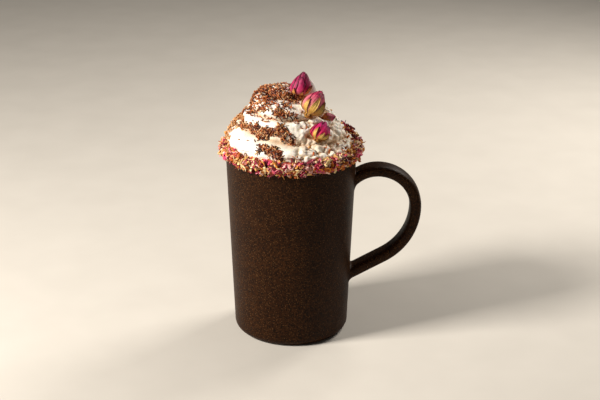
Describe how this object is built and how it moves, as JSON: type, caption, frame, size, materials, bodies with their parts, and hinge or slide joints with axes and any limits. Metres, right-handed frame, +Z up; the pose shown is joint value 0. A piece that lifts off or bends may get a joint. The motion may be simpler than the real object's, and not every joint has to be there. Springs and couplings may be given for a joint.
{
  "type": "mug of hot chocolate",
  "caption": "Tall dark stoneware mug with a loop handle, filled with hot chocolate under a whipped cream swirl, dried rosebuds and a rim crust of dried rose petals.",
  "frame": {"origin": "middle of the mug's foot, on the surface it stands on", "axes": "+Z up along the mug's axis, +X towards the handle, +Y away from the front"},
  "size_m": [0.131, 0.0935, 0.1754],
  "materials": {
    "stoneware": "matt dark brown-black stoneware with a fine sandy speckle",
    "drink": "opaque milky cocoa brown liquid, stands in for hot chocolate",
    "cream": "soft satin whipped cream, strewn with grated chocolate",
    "dried_petals": "crumbled dried rose petals in pinks, reds, oranges and straw",
    "rosebud": "dried magenta rosebud with straw-yellow sepals"
  },
  "bodies": {
    "root": {"mug": "stoneware", "hot_chocolate": "drink", "whipped_cream": "cream", "petal_crust": "dried_petals", "rosebud_top": "rosebud", "rosebud_leaning": "rosebud", "rosebud_front": "rosebud", "rosebud_back": "rosebud"}
  },
  "joints": []
}
